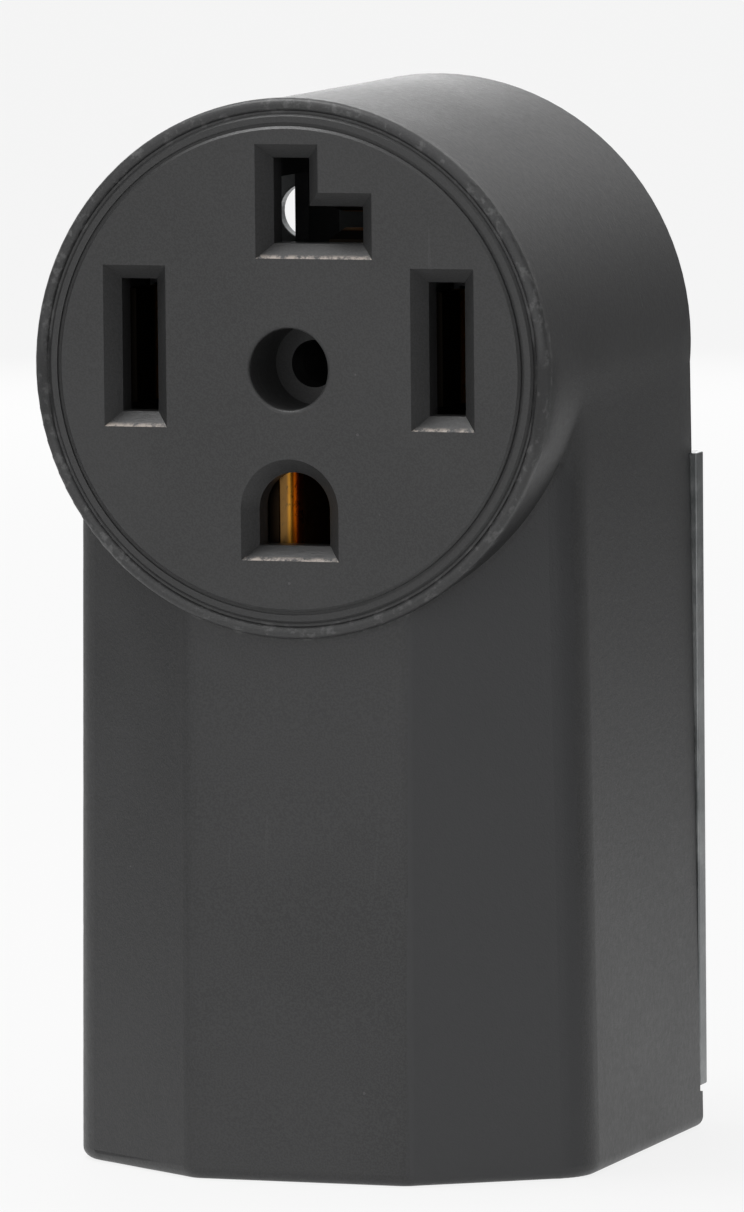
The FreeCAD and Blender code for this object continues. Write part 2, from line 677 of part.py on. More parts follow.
def make_insert():
    body = new_body("face_insert")
    outer = dims.rim_radius - dims.rim_bead * 2 - dims.seat_gap
    line_end = dims.face_radius + dims.line_width
    inner = dims.shoulder_radius - dims.fit_gap
    turn(body, "disc", [
        (0, 0),
        (dims.face_radius - dims.face_bevel, 0),
        (dims.face_radius, dims.face_bevel),
        (dims.face_radius, dims.line_depth),
        (line_end, dims.line_depth),
        (line_end, dims.band_recess),
        (outer - dims.face_bevel, dims.band_recess),
        (outer, dims.band_recess + dims.face_bevel),
        (outer, dims.seat_depth),
        (inner, dims.seat_depth),
        (inner, dims.insert_depth),
        (dims.hub_radius, dims.insert_depth),
        (dims.hub_radius, dims.hub_depth),
        (0, dims.hub_depth),
    ])
    turn(body, "screw_sink", [
        (0, 0),
        (dims.sink_radius + dims.sink_edge, 0),
        (dims.sink_radius, dims.sink_edge),
        (dims.sink_radius, dims.sink_depth),
        (dims.screw_bore, dims.sink_depth),
        (dims.screw_bore, dims.hub_depth),
        (0, dims.hub_depth),
    ], {1: ((dims.sink_radius + dims.sink_edge, dims.sink_edge), False)}, cut=True)
    for side, x in hot_places():
        cut_slot(body, "hot_" + side,
                 lambda sketch, inset, x=x: draw_outline(sketch, hot_corners(x, inset)))
    cut_slot(body, "neutral",
             lambda sketch, inset: draw_outline(sketch, neutral_corners(inset)))
    cut_slot(body, "ground", ground_outline)

    depth = dims.insert_depth - dims.land_depth + 1
    for side, x in hot_places():
        sketch = front_sketch(body, "hot_%s_room" % side, dims.land_depth)
        hot_pocket(sketch, x, 0)
        add_pocket(body, "hot_%s_pocket" % side, sketch, depth)
    sketch = front_sketch(body, "neutral_room", dims.land_depth)
    neutral_pocket(sketch, 0)
    add_pocket(body, "neutral_pocket", sketch, depth)
    sketch = front_sketch(body, "ground_room", dims.land_depth)
    ground_pocket(sketch, 0)
    add_pocket(body, "ground_pocket", sketch, depth)
    notch = front_sketch(body, "key_notch_outline",
                         dims.seat_depth - dims.key_height - dims.fit_gap)
    draw_box(notch, -(dims.key_half + dims.fit_gap), dims.key_half + dims.fit_gap,
             -(outer + 1), -inner)
    add_pocket(body, "key_notch", notch, dims.key_height + dims.fit_gap)
    cores = front_sketch(body, "core_outline", dims.land_depth)
    for side in (-1, 1):
        draw_circle(cores, dims.core_x * side, dims.core_z * -side, dims.core_radius)
    add_pocket(body, "cores", cores, depth)
    holes = front_sketch(body, "joint_holes", dims.joint_screw_tip)
    for x, z in joint_screw_places():
        draw_circle(holes, x, z, dims.joint_screw_radius)
    add_pocket(body, "joint_screw_holes", holes, dims.insert_depth)
    return body


# Contact carrier: black moulding behind the insert, with a tower round each
# contact and the terminal block below

def terminal_places():
    pitch = dims.terminal_pitch
    return (("hot_left", -pitch * 1.5), ("ground", -pitch / 2),
            ("neutral", pitch / 2), ("hot_right", pitch * 1.5))


def make_carrier():
    body = new_body("contact_carrier")
    outer = dims.bore_radius - dims.fit_gap
    front = dims.seat_depth + dims.shoulder_thickness
    recess = dims.shoulder_radius
    hub_recess = dims.hub_radius + dims.fit_gap
    hub_outer = hub_recess + dims.tower_wall
    turn(body, "cup", [
        (0, dims.hub_depth),
        (hub_recess, dims.hub_depth),
        (hub_recess, dims.insert_depth),
        (recess, dims.insert_depth),
        (recess, front),
        (outer, front),
        (outer, dims.web_depth),
        (hub_outer, dims.web_depth),
        (hub_outer, dims.carrier_depth),
        (0, dims.carrier_depth),
    ])
    height = dims.carrier_depth - dims.web_depth
    for side, x in hot_places():
        sketch = front_sketch(body, "hot_%s_tower_outline" % side, dims.web_depth)
        hot_pocket(sketch, x, dims.tower_wall)
        add_pad(body, "hot_%s_tower" % side, sketch, height)
    sketch = front_sketch(body, "neutral_tower_outline", dims.web_depth)
    neutral_pocket(sketch, dims.tower_wall)
    add_pad(body, "neutral_tower", sketch, height)
    sketch = front_sketch(body, "ground_tower_outline", dims.web_depth)
    ground_pocket(sketch, dims.tower_wall)
    add_pad(body, "ground_tower", sketch, height)

    block_depth = dims.carrier_depth - dims.block_front
    block = front_sketch(body, "terminal_block_outline", dims.block_front)
    draw_box(block, -dims.block_half, dims.block_half, -dims.block_bottom, -dims.block_top)
    add_pad(body, "terminal_block", block, block_depth)
    rib_front = dims.web_depth + dims.joint_head_height + dims.tower_wall
    for side, x in hot_places():
        rib = front_sketch(body, "rib_%s_outline" % side, rib_front)
        draw_box(rib, x - dims.leaf_root, x + dims.leaf_root,
                 -(dims.block_top + 1), dims.slot_lift - dims.hot_pocket_half)
        add_pad(body, "rib_" + side, rib, dims.carrier_depth - rib_front)
    barrier = front_sketch(body, "barrier_outline", dims.carrier_depth)
    pitch = dims.terminal_pitch
    for place in (-1, 0, 1):
        x = pitch * place
        draw_box(barrier, x - dims.barrier_thickness / 2, x + dims.barrier_thickness / 2,
                 -dims.block_bottom, -(dims.block_top + dims.tail_half))
    add_pad(body, "barriers", barrier, dims.barrier_height)

    whole = dims.carrier_depth - dims.insert_depth + 1
    for side, x in hot_places():
        sketch = front_sketch(body, "hot_%s_room" % side, dims.insert_depth)
        hot_pocket(sketch, x, 0)
        add_pocket(body, "hot_%s_pocket" % side, sketch, whole)
    sketch = front_sketch(body, "neutral_room", dims.insert_depth)
    neutral_pocket(sketch, 0)
    add_pocket(body, "neutral_pocket", sketch, whole)
    sketch = front_sketch(body, "ground_room", dims.insert_depth)
    ground_pocket(sketch, 0)
    add_pocket(body, "ground_pocket", sketch, whole)

    window = front_sketch(body, "window_outline", dims.insert_depth)
    draw_box(window, -(dims.pocket_half * 2), -(dims.pocket_half - 1),
             dims.neutral_bottom + 0.6, dims.neutral_bottom + dims.slot_width + 1)
    add_pocket(body, "side_window", window, dims.window_rear - dims.insert_depth)

    bore = front_sketch(body, "bore_outline", dims.insert_depth)
    draw_circle(bore, 0, 0, dims.screw_bore)
    add_pocket(body, "screw_bore", bore, whole)
    joints = front_sketch(body, "joint_outline", dims.insert_depth)
    for x, z in joint_screw_places():
        draw_circle(joints, x, z, dims.joint_screw_radius + dims.screw_clear)
    add_pocket(body, "joint_holes", joints, whole)

    nut_half = (dims.nut_size + dims.fit_gap) / 2
    nuts = front_sketch(body, "nut_outline", dims.carrier_depth - dims.nut_thickness)
    shanks = front_sketch(body, "shank_outline", dims.block_front + dims.tower_wall)
    for _, x in terminal_places():
        draw_box(nuts, x - nut_half, x + nut_half,
                 -(dims.terminal_drop + nut_half), -(dims.terminal_drop - nut_half))
        draw_circle(shanks, x, -dims.terminal_drop, dims.screw_radius + dims.screw_clear * 2)
    add_pocket(body, "nut_pockets", nuts, dims.nut_thickness + 1)
    add_pocket(body, "shank_room", shanks, dims.carrier_depth)

    core = front_sketch(body, "core_outline", dims.block_front)
    core_half = dims.terminal_pitch / 2 - dims.screw_radius - dims.tower_wall
    draw_box(core, -(dims.terminal_pitch + core_half), -(dims.terminal_pitch - core_half),
             -(dims.block_bottom - dims.tower_wall * 2),
             -(dims.block_top + dims.tower_wall * 2), dims.pocket_round)
    pocket = add_pocket(body, "core", core,
                        dims.block_thickness - dims.nut_thickness - dims.tower_wall * 2)
    repeat_across(body, "cores", pocket, dims.terminal_pitch * 2, 3)
    return body


# Contacts: each one stamped from brass strip, a base with two leaves bent
# forward and a tail that lies on the terminal block

def leaf_corners(side, across, root, pinch, tip):
    """One leaf in section: across is the contact's middle, side is -1 or 1."""
    inner = root - dims.brass
    steps = [
        (root, dims.carrier_depth + dims.brass),
        (root, dims.leaf_back_depth),
        (pinch + dims.brass, dims.leaf_pinch_depth),
        (tip + dims.brass, dims.leaf_tip_depth),
        (tip, dims.leaf_tip_depth),
        (pinch, dims.leaf_pinch_depth),
        (inner, dims.leaf_back_depth),
        (inner, dims.carrier_depth),
    ]
    return [(across + step * side, depth) for step, depth in steps]


def contact_section(sketch, across, root, pinch, tip, swap=False):
    """Base and two leaves as one outline, along Y and the gripping direction."""
    right = leaf_corners(1, across, root, pinch, tip)
    left = leaf_corners(-1, across, root, pinch, tip)
    corners = right + left[::-1]
    if swap:
        corners = [(depth, place) for place, depth in corners]
    draw_outline(sketch, corners)


def soften_leaves(body, name, direction):
    """Round the bends where the leaves come nearest to each other."""
    pinch = dims.leaf_pinch_depth.number
    round_edges(body, name, dims.leaf_bulge, lambda e: is_line_along(e, direction, 2)
                and abs(e.CenterOfMass.y - pinch) < 0.2)


def tail_hole(body, x):
    hole = front_sketch(body, "screw_hole_outline", dims.carrier_depth - 1)
    draw_circle(hole, x, -dims.terminal_drop, dims.screw_radius + dims.screw_clear)
    add_pocket(body, "screw_hole", hole, dims.brass + 2)


def leaf_heights():
    low = dims.slot_lift - dims.hot_pocket_half + dims.leaf_margin
    high = dims.slot_lift + dims.hot_pocket_half - dims.leaf_margin - dims.clip_thickness
    return low, high


def make_hot_contact(side, x):
    body = new_body("hot_contact_" + side)
    low, high = leaf_heights()
    section = plan_sketch(body, "section", low)
    contact_section(section, x, dims.leaf_root, dims.blade_half, dims.flat_tip_half)
    add_pad(body, "leaves", section, high - low, into_wall=False)
    tail = front_sketch(body, "tail_outline", dims.carrier_depth)
    draw_box(tail, x - dims.tail_half, x + dims.tail_half,
             -(dims.block_bottom - dims.tail_end), high)
    add_pad(body, "tail", tail, dims.brass)
    soften_leaves(body, "leaf_bends", "z")
    tail_hole(body, x)
    return body


def neutral_reach():
    """Left and right ends of the neutral leaves, inside their pocket."""
    return dims.slot_width / 2 - 0.6, dims.neutral_reach - dims.leaf_margin


def make_neutral_contact():
    body = new_body("neutral_contact")
    start, end = neutral_reach()
    section = side_sketch(body, "section", start)
    contact_section(section, neutral_middle(), dims.leaf_root, dims.blade_half,
                    dims.flat_tip_half, swap=True)
    add_pad(body, "leaves", section, end - start, into_wall=False)
    terminal = dict(terminal_places())["neutral"]
    inner = dims.post_radius + 1.2
    outer = dims.slot_spacing / 2 - dims.tail_half - 1.2
    high = neutral_middle() + dims.leaf_root
    low = neutral_middle() - dims.leaf_root
    tail = front_sketch(body, "tail_outline", dims.carrier_depth)
    draw_outline(tail, [
        (start, low),
        (inner, low),
        (inner, -dims.block_top + 2),
        (terminal - dims.tail_half, -(dims.block_top + dims.tail_half)),
        (terminal - dims.tail_half, -(dims.block_bottom - dims.tail_end)),
        (terminal + dims.tail_half, -(dims.block_bottom - dims.tail_end)),
        (terminal + dims.tail_half, -(dims.block_top + dims.tail_half)),
        (outer, -dims.block_top + 2),
        (outer, high),
        (start, high),
    ])
    add_pad(body, "tail", tail, dims.brass)
    soften_leaves(body, "leaf_bends", "x")
    tail_hole(body, terminal)
    return body


def ground_heights():
    low = -dims.ground_bottom + dims.fit_gap * 2
    high = dims.ground_radius - dims.ground_centre - dims.fit_gap * 6
    return low, high


def make_ground_contact():
    body = new_body("ground_contact")
    low, high = ground_heights()
    section = plan_sketch(body, "section", low)
    contact_section(section, as_size(0), dims.pin_root, dims.pin_half, dims.pin_tip_half)
    add_pad(body, "leaves", section, high - low, into_wall=False)
    terminal = dict(terminal_places())["ground"]
    tail = front_sketch(body, "tail_outline", dims.carrier_depth)
    draw_outline(tail, [
        (-dims.pin_root, low),
        (terminal - dims.tail_half, -(dims.block_top + dims.tail_half)),
        (terminal - dims.tail_half, -(dims.block_bottom - dims.tail_end)),
        (terminal + dims.tail_half, -(dims.block_bottom - dims.tail_end)),
        (terminal + dims.tail_half, -(dims.block_top + dims.tail_half)),
        (dims.pin_root, low),
        (dims.pin_root, high),
        (-dims.pin_root, high),
    ])
    add_pad(body, "tail", tail, dims.brass)
    ring = front_sketch(body, "ring_outline", dims.carrier_depth)
    draw_outline(ring, [
        (-dims.post_radius, high - 0.5),
        (dims.post_radius, high - 0.5),
        (dims.post_radius, 0),
        (-dims.post_radius, 0),
    ], {2: ((0, 0), True)})
    add_pad(body, "bonding_ring", ring, dims.brass)
    bore = front_sketch(body, "ring_bore_outline", dims.carrier_depth - 1)
    draw_circle(bore, 0, 0, dims.screw_bore)
    add_pocket(body, "ring_bore", bore, dims.brass + 2)
    soften_leaves(body, "leaf_bends", "z")
    tail_hole(body, terminal)
    return body


# Steel clips that press the leaves together

def clip_outline(sketch, root, low, high, side=0, swap=False):
    """Staple shape: two legs outside the leaves and a bridge over their ends."""
    out = root + dims.clip_thickness
    corners = [
        (side - out, low),
        (side - root, low),
        (side - root, high),
        (side + root, high),
        (side + root, low),
        (side + out, low),
        (side + out, high + dims.clip_thickness),
        (side - out, high + dims.clip_thickness),
    ]
    if swap:
        corners = [(far, place) for place, far in corners]
    draw_outline(sketch, corners)


def make_clip(label, draw):
    body = new_body(label)
    sketch = front_sketch(body, "outline", dims.web_depth + dims.clip_front)
    draw(sketch)
    add_pad(body, "clip", sketch, dims.clip_length)
    return body


def make_clips():
    low, high = leaf_heights()
    for side, x in hot_places():
        make_clip("hot_clip_" + side, lambda sketch, x=x: clip_outline(
            sketch, dims.leaf_root, low, high, side=x))
    start, end = neutral_reach()
    make_clip("neutral_clip", lambda sketch: clip_outline(
        sketch, dims.leaf_root, start, end, side=neutral_middle(), swap=True))
    low_pin, high_pin = ground_heights()
    make_clip("ground_clip", lambda sketch: clip_outline(
        sketch, dims.pin_root, low_pin, high_pin))


# Terminals: clamp plate, binding screw and square nut at each tail

def make_clamp_plate(name, x):
    body = new_body(name + "_clamp_plate")
    half = dims.clamp_size / 2
    seat = dims.carrier_depth + dims.brass
    low = -(dims.terminal_drop + half + dims.clamp_lip)
    sketch = front_sketch(body, "outline", seat)
    draw_box(sketch, x - half, x + half, low, -(dims.terminal_drop - half))
    add_pad(body, "plate", sketch, dims.clamp_thickness)
    lip = front_sketch(body, "lip_outline", seat + dims.clamp_thickness)
    draw_box(lip, x - half, x + half, low, low + dims.clamp_lip)
    add_pad(body, "lip", lip, dims.clamp_lip)
    hole = front_sketch(body, "hole_outline", seat - 1)
    draw_circle(hole, x, -dims.terminal_drop, dims.screw_radius + dims.screw_clear)
    add_pocket(body, "hole", hole, dims.clamp_thickness + dims.clamp_lip + 2)
    return body


def make_screw(label, places, shank, head, seat, tip, head_height):
    """Slotted screws along Y, one separate solid at each place.

    seat is the depth of the surface under the head and tip that of the shank's end;
    a tip in front of the seat puts the head on the wall's side.
    """
    pieces = []
    toward_wall = tip.number < seat.number
    for x, z in places:
        x, z = as_size(x), as_size(z)
        body = new_body(label)
        low, high = (tip, seat) if toward_wall else (seat, tip)
        turned = front_sketch(body, "shank_outline", low)
        draw_circle(turned, x, z, shank)
        add_pad(body, "shank", turned, high - low)
        start = seat if toward_wall else seat - head_height
        cap = front_sketch(body, "head_outline", start)
        draw_circle(cap, x, z, head)
        add_pad(body, "head", cap, head_height)
        cut = seat + head_height - dims.screw_slot_depth if toward_wall else start - 1
        groove = front_sketch(body, "slot_outline", cut)
        draw_box(groove, x - head - 1, x + head + 1,
                 z - dims.screw_slot_width / 2, z + dims.screw_slot_width / 2)
        outside = (seat + head_height if toward_wall else start).number
        round_edges(body, "head_edge", dims.head_edge, lambda e: e.Closed
                    and e.Length > 6 * head.number
                    and abs(e.CenterOfMass.y - outside) < 0.01)
        add_pocket(body, "driver_slot", groove, dims.screw_slot_depth + 1)
        pieces.append(body)
    return pieces


def make_terminals():
    seat = dims.carrier_depth + dims.brass + dims.clamp_thickness
    tip = dims.carrier_depth - dims.nut_thickness - dims.brass
    for name, x in terminal_places():
        make_clamp_plate(name, x)
        make_screw(name + "_terminal_screw", [(x, -dims.terminal_drop)],
                   dims.screw_radius, dims.screw_head_radius, seat, tip,
                   dims.screw_head_height)


def make_nuts():
    pieces = []
    half = dims.nut_size / 2
    front = dims.carrier_depth - dims.nut_thickness
    for _, x in terminal_places():
        body = new_body("terminal_nut")
        sketch = front_sketch(body, "outline", front)
        draw_box(sketch, x - half, x + half, -(dims.terminal_drop + half),
                 -(dims.terminal_drop - half), dims.pocket_round)
        draw_circle(sketch, x, -dims.terminal_drop, dims.screw_radius)
        add_pad(body, "nut", sketch, dims.nut_thickness)
        pieces.append(body)
    return pieces


# Back plate: zinc plated steel, folded along both sides

def make_back_plate():
    body = new_body("back_plate")
    front = dims.plate_front
    section = plan_sketch(body, "channel_section", -dims.flange_bottom)
    half = dims.flange_half
    draw_outline(section, [
        (-half, dims.overall_depth),
        (half, dims.overall_depth),
        (half, dims.flange_front),
        (half - dims.plate, dims.flange_front),
        (half - dims.plate, front),
        (-(half - dims.plate), front),
        (-(half - dims.plate), dims.flange_front),
        (-half, dims.flange_front),
    ])
    add_pad(body, "channel", section, dims.flange_bottom - dims.flange_top,
            into_wall=False)
    outer_y = dims.overall_depth.number
    round_edges(body, "outer_bends", dims.plate_bend, lambda e: is_line_along(e, "z", 10)
                and abs(abs(e.CenterOfMass.x) - half.number) < 0.01
                and abs(e.CenterOfMass.y - outer_y) < 0.01)
    round_edges(body, "inner_bends", dims.plate_bend - dims.plate,
                lambda e: is_line_along(e, "z", 10)
                and abs(abs(e.CenterOfMass.x) - (half - dims.plate).number) < 0.01
                and abs(e.CenterOfMass.y - front.number) < 0.01)

    tongue = front_sketch(body, "tongue_outline", front)
    shoulder = dims.flange_half - dims.plate_bend
    draw_outline(tongue, [
        (-shoulder, -(dims.flange_top + 1)),
        (shoulder, -(dims.flange_top + 1)),
        (shoulder, -dims.flange_top),
        (dims.tongue_radius, -dims.flange_top + 2),
        (dims.tongue_radius, 0),
        (-dims.tongue_radius, 0),
        (-dims.tongue_radius, -dims.flange_top + 2),
        (-shoulder, -dims.flange_top),
    ], {4: ((0, 0), True)})
    add_pad(body, "tongue", tongue, dims.plate)

    holes = front_sketch(body, "hole_outline", front - 1)
    for x in (-dims.mount_half, dims.mount_half):
        for z in (dims.mount_lift, -dims.mount_drop):
            draw_circle(holes, x, z, dims.mount_radius)
    draw_circle(holes, 0, 0, dims.post_rivet)
    for x in (-saddle_screw_across(), saddle_screw_across()):
        draw_circle(holes, x, -dims.saddle_drop, dims.saddle_screw_radius)
    add_pocket(body, "holes", holes, dims.plate + 2)

    cut = front_sketch(body, "knockout_outline", front - 1)
    radius = dims.knockout_radius
    inner = radius - dims.knockout_cut
    tie = dims.knockout_tie / 2
    centre = (0, -dims.knockout_drop)
    reach_out = math.sqrt(radius.number ** 2 - tie.number ** 2)
    reach_in = math.sqrt(inner.number ** 2 - tie.number ** 2)
    for sense in (1, -1):
        outer_x = root_size(radius, tie, reach_out)
        inner_x = root_size(inner, tie, reach_in)
        low = -(dims.knockout_drop + tie)
        high = -(dims.knockout_drop - tie)
        bottom, top = (high, low) if sense > 0 else (low, high)
        draw_outline(cut, [
            (outer_x, bottom) if sense > 0 else (-outer_x, bottom),
            (-outer_x, bottom) if sense > 0 else (outer_x, bottom),
            (-inner_x, bottom) if sense > 0 else (inner_x, bottom),
            (inner_x, bottom) if sense > 0 else (-inner_x, bottom),
        ], {0: (centre, True), 2: (centre, False)})
    add_pocket(body, "knockout_cut", cut, dims.plate + 2)
    return body


def root_size(radius, tie, number):
    """Half chord of a circle at a height above its centre, bound to both."""
    text = "sqrt(pow(" + radius.text + "; 2) - pow(" + tie.text + "; 2))"
    return Size(number, text)


def saddle_screw_across():
    return dims.saddle_half + dims.saddle_strip + dims.saddle_ear / 2


def make_post():
    body = new_body("mounting_post")
    front = dims.carrier_depth + dims.brass
    turn(body, "post", [
        (0, front),
        (dims.post_radius, front),
        (dims.post_radius, dims.plate_front),
        (dims.post_rivet, dims.plate_front),
        (dims.post_rivet, dims.overall_depth),
        (0, dims.overall_depth),
    ])
    bore = front_sketch(body, "thread_outline", front)
    draw_circle(bore, 0, 0, dims.post_bore)
    add_pocket(body, "thread", bore, dims.post_thread)
    return body


def make_sheet():
    body = new_body("insulating_sheet")
    sketch = front_sketch(body, "outline", dims.plate_front - dims.sheet)
    draw_box(sketch, -dims.sheet_half, dims.sheet_half, -dims.sheet_bottom,
             dims.sheet_top, dims.sheet_round)
    draw_circle(sketch, 0, 0, dims.post_radius + dims.fit_gap)
    add_pad(body, "sheet", sketch, dims.sheet)
    return body


def make_saddle():
    body = new_body("cable_saddle")
    web = dims.plate_front
    top = web - dims.saddle_rise
    half = dims.saddle_half
    out = half + dims.saddle_strip
    end = out + dims.saddle_ear
    foot = web - dims.saddle_strip
    section = plan_sketch(body, "section", -(dims.saddle_drop + dims.saddle_width / 2))
    draw_outline(section, [
        (-end, web), (-end, foot), (-out, foot), (-out, top - dims.saddle_strip),
        (out, top - dims.saddle_strip), (out, foot), (end, foot), (end, web),
        (half, web), (half, top), (-half, top), (-half, web),
    ])
    add_pad(body, "strip", section, dims.saddle_width, into_wall=False)
    crown = (top - dims.saddle_strip).number + 0.01
    round_edges(body, "crown", dims.saddle_strip * 1.8, lambda e:
                is_line_along(e, "z", 5) and e.CenterOfMass.y < crown)
    ear_end = end.number - 0.01
    round_edges(body, "ear_ends", dims.saddle_width * 0.3, lambda e:
                is_line_along(e, "y") and abs(e.CenterOfMass.x) > ear_end)
    holes = front_sketch(body, "hole_outline", foot - 1)
    for x in (-saddle_screw_across(), saddle_screw_across()):
        draw_circle(holes, x, -dims.saddle_drop, dims.saddle_screw_radius + dims.screw_clear)
    add_pocket(body, "holes", holes, dims.saddle_strip + 2)
    return body


def group_pieces(label, pieces):
    """Identical fasteners kept in one node as separate solids."""
    group = doc.addObject("Part::Compound", label)
    group.Label = label
    group.Links = pieces
    return group


def write_nodes(nodes):
    doc.recompute()
    for item in doc.Objects:
        if "Invalid" in item.State or "Error" in item.State:
            raise RuntimeError("failed object: " + item.Name)
    os.makedirs("parts", exist_ok=True)
    for node in nodes:
        shape = node.Shape
        if shape.isNull() or not shape.isValid():
            raise RuntimeError("bad shape: " + node.Label)
        shape.exportStep("parts/" + node.Label + ".step")


def build():
    make_housing()
    make_insert()
    make_carrier()
    for side, x in hot_places():
        make_hot_contact(side, x)
    make_neutral_contact()
    make_ground_contact()
    make_clips()
    make_terminals()
    make_back_plate()
    make_post()
    make_sheet()
    make_saddle()
    nuts = make_nuts()
    joint_screws = make_screw(
        "carrier_screw", joint_screw_places(), dims.joint_screw_radius,
        dims.joint_head_radius, dims.web_depth, dims.joint_screw_tip,
        dims.joint_head_height)
    across = saddle_screw_across()
    saddle_screws = make_screw(
        "saddle_screw", [(-across, -dims.saddle_drop), (across, -dims.saddle_drop)],
        dims.saddle_screw_radius, dims.saddle_head_radius,
        dims.plate_front - dims.saddle_strip, dims.overall_depth,
        dims.saddle_head_height)
    grouped = nuts + joint_screws + saddle_screws
    nodes = [item for item in doc.Objects
             if item.TypeId == "PartDesign::Body" and item not in grouped]
    nodes.append(group_pieces("terminal_nuts", nuts))
    nodes.append(group_pieces("carrier_screws", joint_screws))
    nodes.append(group_pieces("saddle_screws", saddle_screws))
    write_nodes(nodes)


build()
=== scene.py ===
import math

import bmesh
import bpy
from mathutils import Matrix, Vector


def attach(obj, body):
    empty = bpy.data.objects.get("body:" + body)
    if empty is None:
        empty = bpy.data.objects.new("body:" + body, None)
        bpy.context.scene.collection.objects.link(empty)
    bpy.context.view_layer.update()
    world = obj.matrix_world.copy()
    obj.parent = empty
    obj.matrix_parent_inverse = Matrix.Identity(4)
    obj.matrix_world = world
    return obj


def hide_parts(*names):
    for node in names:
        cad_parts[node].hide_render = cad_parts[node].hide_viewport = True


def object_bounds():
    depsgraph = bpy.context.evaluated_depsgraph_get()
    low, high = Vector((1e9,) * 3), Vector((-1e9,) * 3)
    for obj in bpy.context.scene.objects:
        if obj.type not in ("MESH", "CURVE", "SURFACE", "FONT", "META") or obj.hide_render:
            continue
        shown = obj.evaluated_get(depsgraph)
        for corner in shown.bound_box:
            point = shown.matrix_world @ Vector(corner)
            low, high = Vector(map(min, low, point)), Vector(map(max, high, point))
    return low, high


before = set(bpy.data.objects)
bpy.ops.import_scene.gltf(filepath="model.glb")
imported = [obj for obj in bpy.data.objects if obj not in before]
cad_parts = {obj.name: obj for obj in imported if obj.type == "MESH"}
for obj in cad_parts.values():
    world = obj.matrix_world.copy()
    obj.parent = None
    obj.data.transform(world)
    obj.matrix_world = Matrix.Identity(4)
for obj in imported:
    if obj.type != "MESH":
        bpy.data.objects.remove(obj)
cad_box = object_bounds()
scene = bpy.context.scene


# Viewpoint
# The outlet is seen from its right and slightly above, through a long lens,
# so that the head's side and the plate's edge just show.

view_azimuth = math.radians(18.548)
view_height = math.radians(5.788)
view_roll = math.radians(-0.531)
view_target = Vector((0, -0.0261, -0.030))
view_distance = 1.113
frame_height = 1212
focal_pixels = 11118
sight_row = 649.9

away = Vector((math.sin(view_azimuth) * math.cos(view_height),
               -math.cos(view_azimuth) * math.cos(view_height),
               math.sin(view_height)))
level = Vector((math.cos(view_azimuth), math.sin(view_azimuth), 0))
upright = away.cross(level)
across = level * math.cos(view_roll) + upright * math.sin(view_roll)
upward = upright * math.cos(view_roll) - level * math.sin(view_roll)
camera_data = bpy.data.cameras.new("camera")
camera_data.sensor_fit = "VERTICAL"
camera_data.sensor_height = 36
camera_data.lens = focal_pixels * 36 / frame_height
camera_data.shift_y = (sight_row - frame_height / 2) / frame_height
camera_data.clip_start = 0.05
camera_data.clip_end = 30
camera = bpy.data.objects.new("camera", camera_data)
scene.collection.objects.link(camera)
turned = Matrix((across, upward, away)).transposed().to_4x4()
camera.matrix_world = Matrix.Translation(view_target + away * view_distance) @ turned
scene.camera = camera


# Studio
# A pale table top that the outlet stands on, in a pale room that is dark to the
# right, with one soft box overhead to the left and a broad weak one in front.

class Wire:
    """An output of a finish; sums, products and the like add Math nodes."""

    def __init__(self, finish, socket):
        self.finish = finish
        self.socket = socket

    def output(self, name):
        return Wire(self.finish, self.socket.node.outputs[name])

    def calc(self, operation, first, second):
        return self.finish.node("ShaderNodeMath", {"operation": operation},
                                {0: first, 1: second})

    def __add__(self, other):
        return self.calc("ADD", self, other)

    def __radd__(self, other):
        return self.calc("ADD", other, self)

    def __sub__(self, other):
        return self.calc("SUBTRACT", self, other)

    def __rsub__(self, other):
        return self.calc("SUBTRACT", other, self)

    def __mul__(self, other):
        return self.calc("MULTIPLY", self, other)

    def __rmul__(self, other):
        return self.calc("MULTIPLY", other, self)

    def __pow__(self, other):
        return self.calc("POWER", self, other)

    def __gt__(self, other):
        return self.calc("GREATER_THAN", self, other)

    def __lt__(self, other):
        return self.calc("LESS_THAN", self, other)

    def clipped(self, low, high):
        """Zero below low, one above high and a smooth rise between them."""
        return self.finish.node(
            "ShaderNodeMapRange", {"interpolation_type": "SMOOTHSTEP"},
            {"Value": self, "From Min": low, "From Max": high})


